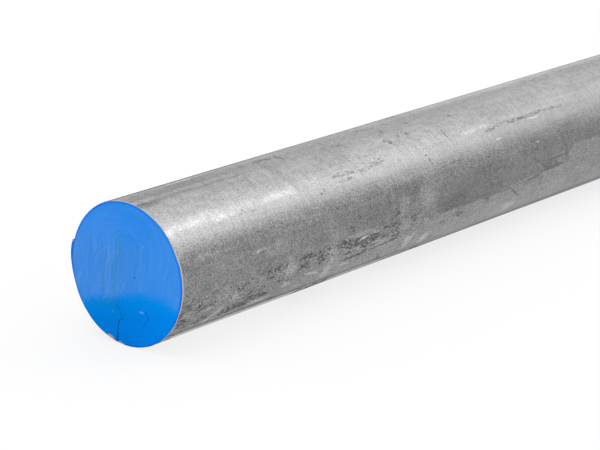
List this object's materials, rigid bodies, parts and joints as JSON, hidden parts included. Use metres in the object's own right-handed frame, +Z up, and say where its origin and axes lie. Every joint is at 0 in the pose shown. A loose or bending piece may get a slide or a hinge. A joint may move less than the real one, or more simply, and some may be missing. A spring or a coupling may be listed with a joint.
{
  "type": "round steel bar",
  "caption": "Solid round steel bar, saw-cut square at both ends, with a brushed blue colour-code paint on one end face. Raw stock for turning, welding or cutting to length.",
  "frame": {"origin": "on the floor, straight below the middle of the bar's axis", "axes": "+Y along the bar from the painted end to the bare end, +Z up, with the bar lying on its side on Z = 0"},
  "size_m": [0.0508, 0.6097, 0.0506],
  "materials": {
    "steel": "satin, cold drawn, lightly scratched",
    "end_paint": "brushed satin paint"
  },
  "bodies": {
    "root": {"bar": "steel", "end_paint": "end_paint"}
  },
  "joints": []
}
